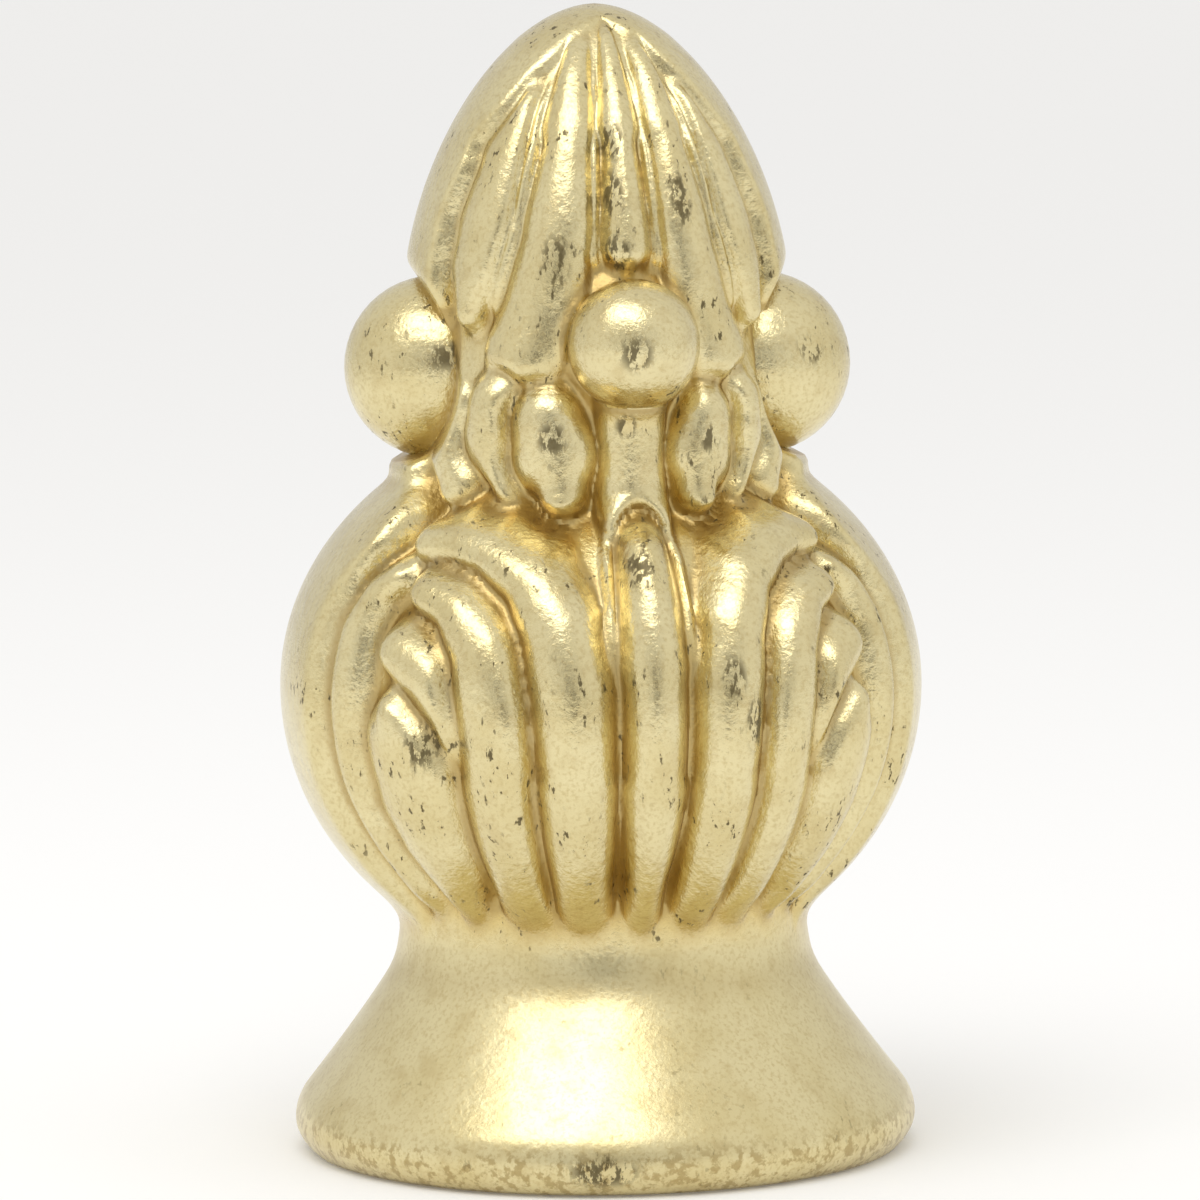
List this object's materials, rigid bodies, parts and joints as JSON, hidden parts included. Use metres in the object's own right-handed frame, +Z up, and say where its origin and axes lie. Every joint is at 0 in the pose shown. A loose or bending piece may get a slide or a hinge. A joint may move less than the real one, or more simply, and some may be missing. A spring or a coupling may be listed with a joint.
{
  "type": "lamp finial",
  "caption": "Cast gilt lamp finial: a flared foot, a ribbed globe, a waist with petals, two balls and two larger bosses, and a pointed leafy dome.",
  "frame": {"origin": "middle of the underside, where the finial rests on the lamp harp", "axes": "+Z up through the tip; -Y towards the front panel; +X to its right"},
  "size_m": [0.0242, 0.0244, 0.0434],
  "materials": {
    "gilding": "pale gold leaf, softly glossy, darker in the grooves"
  },
  "bodies": {
    "root": {"finial": "gilding"}
  },
  "joints": []
}
